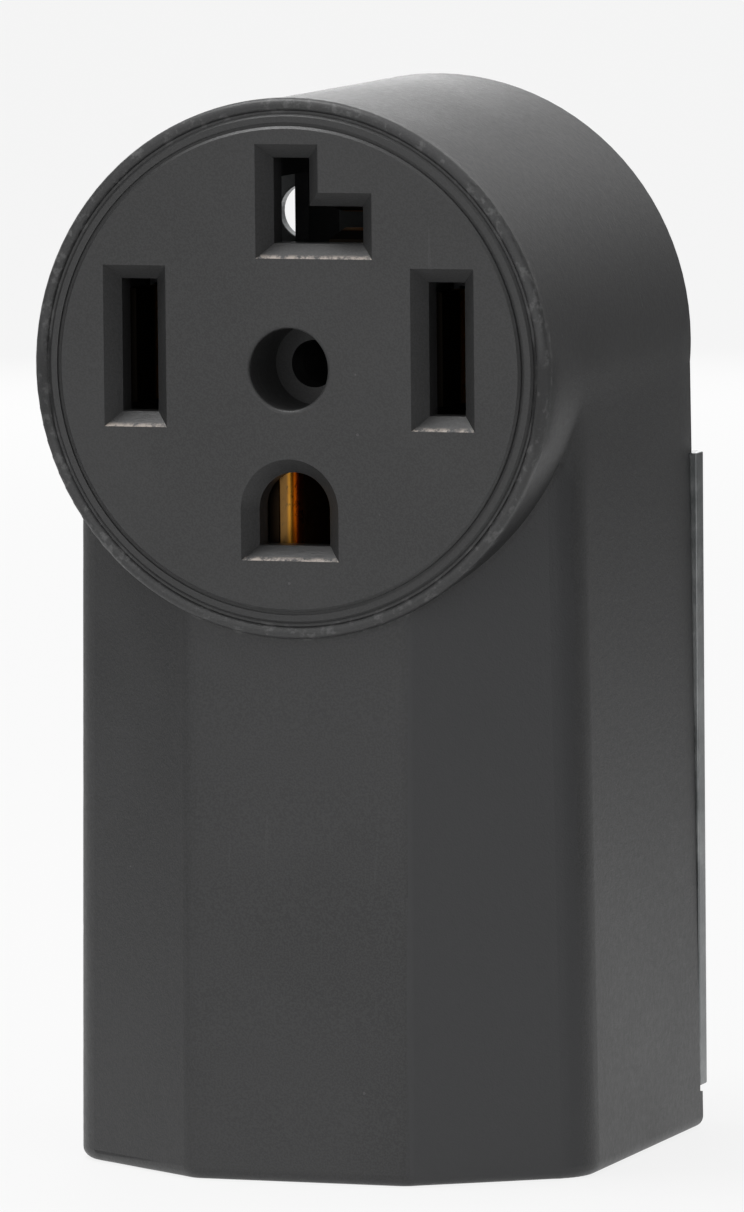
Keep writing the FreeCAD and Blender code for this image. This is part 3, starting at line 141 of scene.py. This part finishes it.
class Finish:
    """A node tree with its shader; node() adds a node, its settings first."""

    def __init__(self, tree, shader):
        self.tree = tree
        self.shader = shader

    def node(self, kind, settings=None, inputs=None):
        made = self.tree.nodes.new(kind)
        for name, value in (settings or {}).items():
            setattr(made, name, value)
        for name, value in (inputs or {}).items():
            self.feed(made.inputs[name], value)
        shown = [socket for socket in made.outputs if socket.enabled]
        return Wire(self, shown[0])

    def feed(self, socket, value):
        if isinstance(value, Wire):
            self.tree.links.new(value.socket, socket)
        else:
            socket.default_value = value

    def set(self, **inputs):
        for name, value in inputs.items():
            self.feed(self.shader.inputs[name.replace("_", " ")], value)

    def place(self, stretch=(1, 1, 1), turn=(0, 0, 0)):
        """The piece's own coordinates in metres, stretched and turned."""
        own = self.node("ShaderNodeTexCoord").output("Object")
        return self.node("ShaderNodeMapping", None,
                         {"Vector": own, "Scale": stretch, "Rotation": turn})

    def noise(self, scale, detail=2.0, rough=0.5, place=None):
        return self.node("ShaderNodeTexNoise", None, {
            "Vector": place or self.place(), "Scale": scale,
            "Detail": detail, "Roughness": rough})

    def blend(self, amount, first, second, kind="RGBA"):
        """Mix of two colours, or of two directions where kind is VECTOR."""
        mix = self.node("ShaderNodeMix", {"data_type": kind}, {0: amount})
        sides = [socket for socket in mix.socket.node.inputs
                 if socket.type == kind and socket.enabled]
        for socket, value in zip(sides[-2:], (first, second)):
            if not isinstance(value, Wire):
                value = (*value, 1)
            self.feed(socket, value)
        return mix

    def shown_rays(self):
        """One for the rays that see or mirror the surroundings, else zero."""
        path = self.node("ShaderNodeLightPath")
        return (path.output("Is Camera Ray") + path.output("Is Glossy Ray")
                + path.output("Is Transmission Ray"))

    def normal(self, name="Normal"):
        """The surface's direction, as X, Y and Z."""
        direction = self.node("ShaderNodeNewGeometry").output(name)
        apart = self.node("ShaderNodeSeparateXYZ", None, {"Vector": direction})
        return [apart.output(axis) for axis in "XYZ"]

    def bump(self, height, distance):
        return self.node("ShaderNodeBump", None, {
            "Height": height, "Distance": distance, "Strength": 1.0})


def new_finish(name):
    material = bpy.data.materials.new(name)
    material.use_nodes = True
    finish = Finish(material.node_tree, material.node_tree.nodes["Principled BSDF"])
    finish.material = material
    return finish


floor_mesh = bpy.data.meshes.new("floor")
shape = bmesh.new()
bmesh.ops.create_grid(shape, x_segments=1, y_segments=1, size=12)
bmesh.ops.translate(shape, verts=shape.verts, vec=(0, 0, cad_box[0][2]))
shape.to_mesh(floor_mesh)
shape.free()
floor = bpy.data.objects.new("floor", floor_mesh)
scene.collection.objects.link(floor)
table_top = new_finish("pale_table_top")
table_top.set(Base_Color=(0.62, 0.62, 0.62, 1), Roughness=0.8)
pale = table_top.node("ShaderNodeEmission", None, {"Color": (1, 1, 1, 1), "Strength": 1.0})
unlit = table_top.node("ShaderNodeEmission", None, {"Color": (0, 0, 0, 1), "Strength": 0.0})
paleness = 0.84
seen = table_top.shown_rays()
on_table = table_top.node("ShaderNodeSeparateXYZ", None, {
    "Vector": table_top.node("ShaderNodeNewGeometry").output("Position")})
far_right = (on_table.output("X") + on_table.output("Y") * 0.35).clipped(0.10, 0.42) * 0.92
far_left = (-1 * on_table.output("X")).clipped(0.08, 0.6) * 0.8
mirrored = table_top.node("ShaderNodeLightPath").output("Is Glossy Ray")
lit_share = (1 - mirrored * far_right) * (1 - mirrored * far_left)
glow = table_top.node("ShaderNodeMixShader", None, {0: lit_share, 1: unlit, 2: pale})
shaded = Wire(table_top, table_top.shader.outputs["BSDF"])
mixed = table_top.node("ShaderNodeMixShader", None,
                       {0: seen * paleness, 1: shaded, 2: glow})
surface = table_top.tree.nodes["Material Output"].inputs["Surface"]
table_top.feed(surface, mixed)
floor_mesh.materials.append(table_top.material)

world = bpy.data.worlds.new("room")
scene.world = world
world.use_nodes = True
room = Finish(world.node_tree, world.node_tree.nodes["Background"])
toward = room.node("ShaderNodeSeparateXYZ", None,
                   {"Vector": room.node("ShaderNodeTexCoord").output("Generated")})
to_right, to_back, to_sky = (toward.output(name) for name in "XYZ")
right_side = to_right.clipped(0.72, 0.98) * 0.97
left_side = (-1 * to_right + to_sky * 0.4).clipped(0.5, 1.1) * 0.75
rear = to_back.clipped(0.55, 0.9)
rear_light = (to_sky * 1.2 - to_right).clipped(-0.40, 0.55)
rear_shade = rear * (1 - rear_light) * 0.93
unseen = 1 - room.node("ShaderNodeLightPath").output("Is Camera Ray")
lighting_cut = 0.25
plain = 1 - (1 - room.shown_rays()) * lighting_cut
room.set(Color=(1, 1, 1, 1),
         Strength=plain * (1 - unseen * right_side) * (1 - unseen * left_side)
         * (1 - unseen * rear_shade))


def soft_box(name, place, aim, width, height, power):
    lamp = bpy.data.lights.new(name, "AREA")
    lamp.shape = "RECTANGLE"
    lamp.size = width
    lamp.size_y = height
    lamp.energy = power
    holder = bpy.data.objects.new(name, lamp)
    scene.collection.objects.link(holder)
    facing = (Vector(place) - Vector(aim)).to_track_quat("Z", "Y")
    holder.matrix_world = Matrix.Translation(place) @ facing.to_matrix().to_4x4()


middle = (0, -0.025, -0.03)
soft_box("front_box", (-0.55, -1.15, 0.55), middle, 1.0, 0.8, 1.5)
soft_box("overhead_box", (-0.28, -0.12, 0.75), middle, 0.35, 0.3, 4)
soft_box("rear_box", (-0.36, 0.95, 0.15), middle, 0.35, 0.25, 0.9)


# Housing
# One compression-moulded black shell: round head, faceted wiring box below.
# Satin surface with a fine grain, faint handling scratches and specks of dust.

def black_moulding(name, dark, light, gloss, grain):
    """Satin black plastic; grain is the depth of its fine texture in metres."""
    finish = new_finish(name)
    cloud = finish.noise(45, detail=4, rough=0.6)
    fine = finish.noise(5200, detail=2)
    coarse = finish.noise(1500, detail=3, rough=0.6)
    scratch_place = finish.place(stretch=(1, 1, 0.06), turn=(0.3, 0.2, 0.5))
    scratch = finish.noise(1300, detail=1, place=scratch_place).clipped(0.71, 0.75)
    patch = finish.noise(28, detail=2).clipped(0.52, 0.68)
    specks = finish.node("ShaderNodeTexVoronoi", {"feature": "F1"},
                         {"Vector": finish.place(), "Scale": 420.0})
    chance = finish.node("ShaderNodeSeparateColor", None,
                         {"Color": specks.output("Color")})
    dust = (specks < 0.06) * (chance > 0.9)
    tone = finish.blend(cloud.clipped(0.35, 0.65), dark, light)
    grain_grey, scratch_grey, dust_grey = (0.055, 0.055, 0.056), (0.12,) * 3, (0.2,) * 3
    grained = finish.blend((fine - 0.5).clipped(-0.1, 0.1) * 0.3, tone, grain_grey)
    marked = finish.blend(scratch * patch * 0.15, grained, scratch_grey)
    dusty = finish.blend(dust * 0.2, marked, dust_grey)
    height = fine * 0.6 + coarse * 0.6 - scratch * patch * 0.4
    finish.surface = dusty
    relief = finish.bump(height, grain)
    finish.grain = relief.socket.node
    finish.set(Base_Color=dusty,
               Roughness=gloss + (coarse - 0.5) * 0.16 + (cloud - 0.5) * 0.12,
               Normal=relief)
    return finish


def dress(finish, *names):
    """Give CAD nodes a finish."""
    for name in names:
        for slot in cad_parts[name].material_slots:
            slot.material = finish.material


def measured(finish):
    """Millimetres behind the face and out from the head's axis, and raw X and Z."""
    apart = finish.node("ShaderNodeSeparateXYZ", None, {"Vector": finish.place()})
    x, y, z = (apart.output(name) for name in "XYZ")
    depth = (y - cad_box[0][1]) * 1000
    radius = (x * x + z * z) ** 0.5 * 1000
    return depth, radius, x, z


shell = black_moulding("satin_black_shell", (0.019, 0.0192, 0.0198),
                       (0.026, 0.0262, 0.027), 0.44, 0.00004)
depth, radius, x, z = measured(shell)

# The bead round the face is painted paler in patches, partly rubbed wear and partly a
# painted highlight; the facets turned to the right are painted paler as a sheen.
bead_inside, bead_outside, bead_back = 25.4, 26.6, 2.4
facet_sheen_black, rubbed_highlight_grey = (0.034, 0.0346, 0.0364), (0.11, 0.11, 0.11)
rubbed_highlight_patches = shell.noise(900, detail=4, rough=0.65).clipped(0.52, 0.64)
below_head = radius.clipped(bead_outside, bead_outside + 0.3)
on_bead = ((1 - depth.clipped(bead_back - 1, bead_back))
           * radius.clipped(bead_inside - 0.6, bead_inside) * (1 - below_head))
turned = shell.normal("True Normal")[0]
# Painted sheen: facets turned to the right, below the head, are painted a paler black.
sheen_facet = turned.clipped(0.3, 0.45) * (1 - turned.clipped(0.8, 0.92)) * below_head
facet_sheen = shell.blend(sheen_facet * 0.9, shell.surface, facet_sheen_black)
shell.set(Base_Color=shell.blend((rubbed_highlight_patches * 0.6 + 0.1) * on_bead, facet_sheen, rubbed_highlight_grey))

# Where the round head runs into the flat side, the moulding has no crease.
blend_radius = 0.005
beside = (x * x).clipped(0.0245 ** 2, 0.0255 ** 2)
at_seam = beside * z.clipped(-0.016, -0.009) * (1 - z.clipped(-0.001, 0.004))
seam = shell.node("ShaderNodeBevel", {"samples": 8}, {"Radius": at_seam * blend_radius})
shell.feed(shell.grain.inputs["Normal"], seam)
dress(shell, "housing")


# Face insert
# The round black front, moulded apart from the shell in a slightly smoother
# compound, with bevelled slots that lead the plug's blades in.

face = black_moulding("smooth_black_face", (0.024, 0.0242, 0.0245),
                      (0.030, 0.0302, 0.0306), 0.44, 0.00003)

# The slots' upward-facing lower lips get a painted highlight in pale tan patches; the
# ground slot's lower bevel is painted near black as shade.
bore_edge, slots_edge, lip_depth, ground_slot_top = 7.0, 22.0, 0.5, -0.012
bevel_shade_black, lip_highlight_tan = (0.006, 0.006, 0.0062), (0.42, 0.36, 0.31)
faces_up = face.normal()[2] > 0.4
depth, radius, x, z = measured(face)
lip_highlight_patches = face.noise(1100, detail=4, rough=0.7).clipped(0.38, 0.6)
near_slots = (radius.clipped(bore_edge - 0.5, bore_edge)
              * (1 - radius.clipped(slots_edge - 0.5, slots_edge)))
lower_lip = faces_up * (1 - depth.clipped(lip_depth - 0.4, lip_depth)) * near_slots
low_bevel = faces_up * (1 - z.clipped(ground_slot_top - 0.001, ground_slot_top)) * near_slots
bevel_shaded = face.blend(low_bevel * 0.75, face.surface, bevel_shade_black)
face.set(Base_Color=face.blend(lip_highlight_patches * lower_lip * 0.85, bevel_shaded, lip_highlight_tan))
dress(face, "face_insert")


def new_piece(name, shape, finish):
    """Closed mesh, drawn in metres in the part's own frame, riding the one body."""
    bmesh.ops.recalc_face_normals(shape, faces=shape.faces)
    mesh = bpy.data.meshes.new(name)
    shape.to_mesh(mesh)
    shape.free()
    mesh.materials.append(finish.material)
    piece = bpy.data.objects.new(name, mesh)
    scene.collection.objects.link(piece)
    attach(piece, "root")
    return piece


def ring_shape(section, steps=160):
    """A section of radius and depth, in millimetres, turned about the head's axis."""
    ring = bmesh.new()
    face_plane = cad_box[0][1]
    corners = [ring.verts.new((out / 1000, face_plane + back / 1000, 0))
               for out, back in section]
    edges = [ring.edges.new(pair) for pair in zip(corners, corners[1:] + corners[:1])]
    bmesh.ops.spin(ring, geom=corners + edges, cent=(0, 0, 0), axis=(0, 1, 0),
                   angle=math.tau, steps=steps, use_merge=True)
    return ring


# A thin ring of moulding flash stands in the dark line round the insert.
flash_inside, flash_outside, flash_front, flash_back = 24.98, 25.28, 0.75, 1.6
flash = ring_shape([(flash_inside, flash_front), (flash_outside, flash_front),
                    (flash_outside, flash_back), (flash_inside, flash_back)])
new_piece("seat_flash", flash, shell)


# Contact carrier
# The black moulding behind the face: a deep tower round each contact and the
# terminal block. Dull, a little dusty, seen only through the slots and the foot.

dress(black_moulding("dull_black_carrier", (0.024, 0.025, 0.027),
                     (0.034, 0.035, 0.037), 0.6, 0.00005), "contact_carrier")


# Contacts
# Stamped and bent from rolled brass strip; their tails lie on the terminal
# block. Drawn lines along the strip, brown tarnish and a few dark spots, and
# painted shade that darkens them deeper behind the face.

def rolled_metal(name, clean, stained, dark, gloss, spot_size):
    """Metal with drawn lines along Z; gloss is the roughness of its clean parts."""
    finish = new_finish(name)
    drawn = finish.noise(2600, detail=3, place=finish.place(stretch=(1, 1, 0.05)))
    stain = finish.noise(spot_size, detail=5, rough=0.65)
    spots = finish.noise(spot_size * 5, detail=3).clipped(0.62, 0.72)
    tone = finish.blend(stain.clipped(0.42, 0.68), clean, stained)
    finish.surface = finish.blend(spots * 0.7, tone, dark)
    finish.set(Base_Color=finish.surface, Metallic=1.0,
               Roughness=gloss + (drawn - 0.5) * 0.2 + stain.clipped(0.45, 0.7) * 0.2,
               Normal=finish.bump(drawn, 0.00002))
    return finish


leaf_tip, leaf_pinch = 5.0, 10.5


def bent_brass(name, shade_from, shade_to, amount, shade_tone, pinch_highlight=0.0):
    """Brass strip, painted darker as shade past a depth in millimetres, with a painted
    highlight at the pinch.
    """
    finish = rolled_metal(name, (0.84, 0.38, 0.045), (0.62, 0.27, 0.035),
                          (0.12, 0.07, 0.03), 0.3, 220.0)
    depth = measured(finish)[0]
    pinch_highlight_band = (depth.clipped(leaf_pinch - 1.9, leaf_pinch - 0.9)
                   * (1 - depth.clipped(leaf_pinch + 0.1, leaf_pinch + 0.7)))
    depth_shade = depth.clipped(shade_from, shade_to) * amount * (1 - pinch_highlight_band * pinch_highlight)
    finish.surface = finish.blend(depth_shade, finish.surface, shade_tone)
    finish.set(Base_Color=finish.surface, Roughness=0.32 + depth_shade * 0.3)
    return finish


# Painted shade: the hot and neutral contacts are painted near black from 1 mm behind the
# face, so the shallow leaves read as deep, with a painted brass highlight left at the pinch.
dress(bent_brass("shade_painted_brass", 0.0, 1.0, 1.0, (0.010, 0.008, 0.006), 0.8),
      "hot_contact_left", "hot_contact_right", "neutral_contact")


# The ground leaves are rolled round a pin between tip and pinch, so the shading
# turns there from facing the slot's mouth to facing the other leaf.
spot_brown, front_shade_brown = (0.07, 0.04, 0.015), (0.09, 0.06, 0.03)
tip_shade_black = (0.012, 0.010, 0.009)
# Painted shade: past the pinch the ground leaves are painted dark brown.
ground_brass = bent_brass("rolled_brass", leaf_pinch - 0.3, leaf_pinch + 0.3, 0.9,
                          (0.05, 0.034, 0.018))
depth, radius, x, z = measured(ground_brass)
turn = (depth - leaf_tip) * (1 / (leaf_pinch - leaf_tip))
past_tip = depth.clipped(leaf_tip + 0.1, leaf_tip + 0.4)
side = ground_brass.node("ShaderNodeMath", {"operation": "SIGN"}, {0: x})
rolled = ground_brass.node("ShaderNodeCombineXYZ", None, {
    "X": 0 - side * (0.15 + turn * turn), "Y": turn * 0.9 - 1.0, "Z": 0.0})
roll_share = past_tip * (1 - depth.clipped(leaf_pinch - 0.1, leaf_pinch + 0.1))
true_normal = ground_brass.node("ShaderNodeNewGeometry").output("Normal")
level_normal = ground_brass.node(
    "ShaderNodeVectorMath", {"operation": "NORMALIZE"},
    {0: ground_brass.blend(roll_share, true_normal, rolled, "VECTOR")})
blotches = ground_brass.noise(420, detail=5, rough=0.7).clipped(0.56, 0.64)
spotted = ground_brass.blend(blotches * 0.75, ground_brass.surface, spot_brown)
# Painted shade: the leaves' fronts are painted brown and their tip faces near black.
front_shade = 1 - depth.clipped(leaf_tip + 1.6, leaf_tip + 2.6)
front_shaded = ground_brass.blend(front_shade * 0.85, spotted, front_shade_brown)
ground_brass.set(Normal=level_normal, Base_Color=ground_brass.blend(
    (1 - past_tip) * 0.9, front_shaded, tip_shade_black))
dress(ground_brass, "ground_contact")


# Contact clips
# Small staples bent from spring steel strip. One is pushed over each pair of
# leaves from behind and presses them together.

dress(rolled_metal("spring_steel", (0.45, 0.45, 0.46), (0.32, 0.32, 0.34),
                   (0.15, 0.14, 0.14), 0.35, 260.0),
      "hot_clip_left", "hot_clip_right", "neutral_clip", "ground_clip")


# Terminals
# Binding screws, clamp plates and square nuts of zinc plated steel; the ground
# screw is dyed green so that its wire is not mistaken.

bright_zinc = rolled_metal("bright_zinc", (0.66, 0.66, 0.64), (0.5, 0.5, 0.49),
                           (0.25, 0.24, 0.22), 0.32, 240.0)
yellow_zinc = rolled_metal("yellow_zinc", (0.70, 0.60, 0.36), (0.52, 0.44, 0.26),
                           (0.25, 0.2, 0.12), 0.32, 240.0)
green_zinc = rolled_metal("green_dyed_zinc", (0.10, 0.34, 0.14), (0.06, 0.22, 0.10),
                          (0.05, 0.1, 0.06), 0.35, 240.0)
dress(bright_zinc, "hot_left_clamp_plate", "hot_right_clamp_plate",
      "neutral_clamp_plate", "ground_clamp_plate", "terminal_nuts", "carrier_screws",
      "mounting_post", "saddle_screws")
dress(yellow_zinc, "hot_left_terminal_screw", "hot_right_terminal_screw",
      "neutral_terminal_screw")
dress(green_zinc, "ground_terminal_screw")


# Back plate and cable saddle
# Sheet steel, punched and folded, then dull zinc plated: grey with paler and
# darker patches, a fine spangle and a few brownish patches of rust.

def zinc_sheet(name):
    """Zinc plated sheet, with patches, a fine spangle and a little rust."""
    finish = new_finish(name)
    patches = finish.noise(95, detail=5, rough=0.65)
    spangle = finish.node("ShaderNodeTexVoronoi", {"feature": "F1"},
                          {"Vector": finish.place(), "Scale": 520.0})
    tint = finish.node("ShaderNodeSeparateColor", None,
                       {"Color": spangle.output("Color")})
    fine = finish.noise(3800, detail=2)
    rust = finish.noise(60, detail=6, rough=0.7).clipped(0.6, 0.75)
    dark_zinc, pale_zinc = (0.16, 0.168, 0.17), (0.36, 0.37, 0.37)
    spangle_grey, rust_brown = (0.32, 0.33, 0.335), (0.24, 0.17, 0.11)
    tone = finish.blend(patches.clipped(0.35, 0.66), dark_zinc, pale_zinc)
    flecked = finish.blend(tint * 0.25, tone, spangle_grey)
    finish.set(Base_Color=finish.blend(rust * 0.45, flecked, rust_brown),
               Metallic=0.85,
               Roughness=0.42 + (patches - 0.5) * 0.3 + (tint - 0.5) * 0.08,
               Normal=finish.bump(fine + patches * 2, 0.00003))
    return finish


zinc = zinc_sheet("dull_zinc_sheet")
dress(zinc, "back_plate", "cable_saddle")


def prism(outline, start, length, from_above=False):
    """Outline in millimetres pushed back along Y, or up along Z where it is a plan."""
    shape = bmesh.new()
    face_plane = cad_box[0][1]
    if from_above:
        corners = [(a / 1000, face_plane + b / 1000, start / 1000) for a, b in outline]
        push = (0, 0, length / 1000)
    else:
        corners = [(a / 1000, face_plane + start / 1000, b / 1000) for a, b in outline]
        push = (0, length / 1000, 0)
    base = shape.faces.new([shape.verts.new(corner) for corner in corners])
    grown = bmesh.ops.extrude_face_region(shape, geom=[base])["geom"]
    moved = [item for item in grown if isinstance(item, bmesh.types.BMVert)]
    bmesh.ops.translate(shape, verts=moved, vec=push)
    bmesh.ops.recalc_face_normals(shape, faces=shape.faces)
    return shape


def arc(x, z, radius, first, last, steps=48):
    """Points on a circle from one angle to another, in degrees."""
    turns = [math.radians(first + (last - first) * step / steps)
             for step in range(steps + 1)]
    return [(x + radius * math.cos(turn), z + radius * math.sin(turn)) for turn in turns]


def round_outline(x, z, radius, steps):
    """A whole circle, its last point left off."""
    return arc(x, z, radius, 0, 360, steps)[:-1]


def carved(first, *others):
    """The first shape with the others joined to it or cut from it, in their order."""
    def as_object(shape):
        mesh = bpy.data.meshes.new("blank")
        shape.to_mesh(mesh)
        shape.free()
        made = bpy.data.objects.new("blank", mesh)
        scene.collection.objects.link(made)
        return made

    body = as_object(first)
    tools = []
    for operation, shape in others:
        tools.append(as_object(shape))
        step = body.modifiers.new("step", "BOOLEAN")
        step.operation = operation
        step.object = tools[-1]
        step.solver = "EXACT"
    seen_mesh = body.evaluated_get(bpy.context.evaluated_depsgraph_get()).to_mesh()
    result = bmesh.new()
    result.from_mesh(seen_mesh)
    for item in [body] + tools:
        blank = item.data
        bpy.data.objects.remove(item)
        bpy.data.meshes.remove(blank)
    return result


def soften(shape, width):
    """Small rounding along every sharp edge, once flat neighbours are merged."""
    merge_distance = 0.000002
    bmesh.ops.remove_doubles(shape, verts=shape.verts, dist=merge_distance)
    bmesh.ops.dissolve_limit(shape, angle_limit=math.radians(1), verts=shape.verts,
                             edges=shape.edges)
    sharp = [edge for edge in shape.edges
             if len(edge.link_faces) == 2 and edge.calc_face_angle() > math.radians(40)]
    bmesh.ops.bevel(shape, geom=sharp, offset=width, affect="EDGES", segments=2,
                    profile=0.5, material=-1)
    for vert in shape.verts:
        vert.co.y = min(vert.co.y, cad_box[1][1])


# A folded channel below, and a round-topped tongue behind the head. The fold's
# outside shows as the bright strip beside the housing. All sizes in millimetres.
wall_plane, steel = 51.1, 1.5
web_front = wall_plane - steel
half, bend, inner_bend = 27.3, 1.8, 0.3
flange_front, flange_high, flange_low = 47.3, -11.6, -76.1
right_profile = (
    arc(half - bend, wall_plane - bend, bend, 90, 0, 8)
    + [(half, flange_front), (half - steel, flange_front)]
    + arc(half - steel - inner_bend, web_front - inner_bend, inner_bend, 0, 90, 4))
left_profile = [(-across, back) for across, back in reversed(right_profile)]
channel = prism(right_profile + left_profile, flange_low, flange_high - flange_low,
                from_above=True)

tongue_radius, shoulder, overlap, shoulder_rise = 24.5, half - bend, 1.0, 2.0
tongue = prism(
    [(-shoulder, flange_high - overlap), (shoulder, flange_high - overlap),
     (shoulder, flange_high), (tongue_radius, flange_high + shoulder_rise)]
    + arc(0, 0, tongue_radius, 0, 180)
    + [(-tongue_radius, flange_high + shoulder_rise), (-shoulder, flange_high)],
    web_front, steel)

# Four wall screw holes, two for the saddle's screws, one for the post's rivet,
# and the knockout's cut, which leaves two ties.
wall_hole, saddle_hole, rivet_hole = 2.8, 1.9, 3.0
openings = [round_outline(x, z, wall_hole, 40) for x in (-14.9, 14.9) for z in (12.3, -51.7)]
openings += [round_outline(x, -66.5, saddle_hole, 32) for x in (-15.3, 15.3)]
openings.append(round_outline(0, 0, rivet_hole, 40))
knockout_z, knockout, knockout_cut, half_tie = -48.0, 11.1, 0.5, 1.5
tie = math.degrees(math.asin(half_tie / knockout))
openings += [arc(0, knockout_z, knockout, turn + tie, turn + 180 - tie)
             + arc(0, knockout_z, knockout - knockout_cut, turn + 180 - tie, turn + tie)
             for turn in (0, 180)]
cuts = [("DIFFERENCE", prism(outline, web_front - 1, steel + 2)) for outline in openings]
folded = carved(channel, ("UNION", tongue), *cuts)
edge_rounding = 0.00012
soften(folded, edge_rounding)
folded_plate = new_piece("folded_plate", folded, zinc)
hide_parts("back_plate")


# Insulating sheet
# Hard grey fibre, cut from sheet and laid between the terminals and the steel
# plate so that no strand of wire can bridge them.

fibre = new_finish("grey_fibre")
strands = fibre.noise(900, detail=6, rough=0.7)
fibre.set(Base_Color=fibre.blend(strands.clipped(0.35, 0.65), (0.20, 0.20, 0.205),
                                 (0.30, 0.30, 0.30)),
          Roughness=0.75 + (strands - 0.5) * 0.2, Normal=fibre.bump(strands, 0.00005))
dress(fibre, "insulating_sheet")


# Colour management
# The view's colours stay plain.

scene.view_settings.view_transform = "Standard"
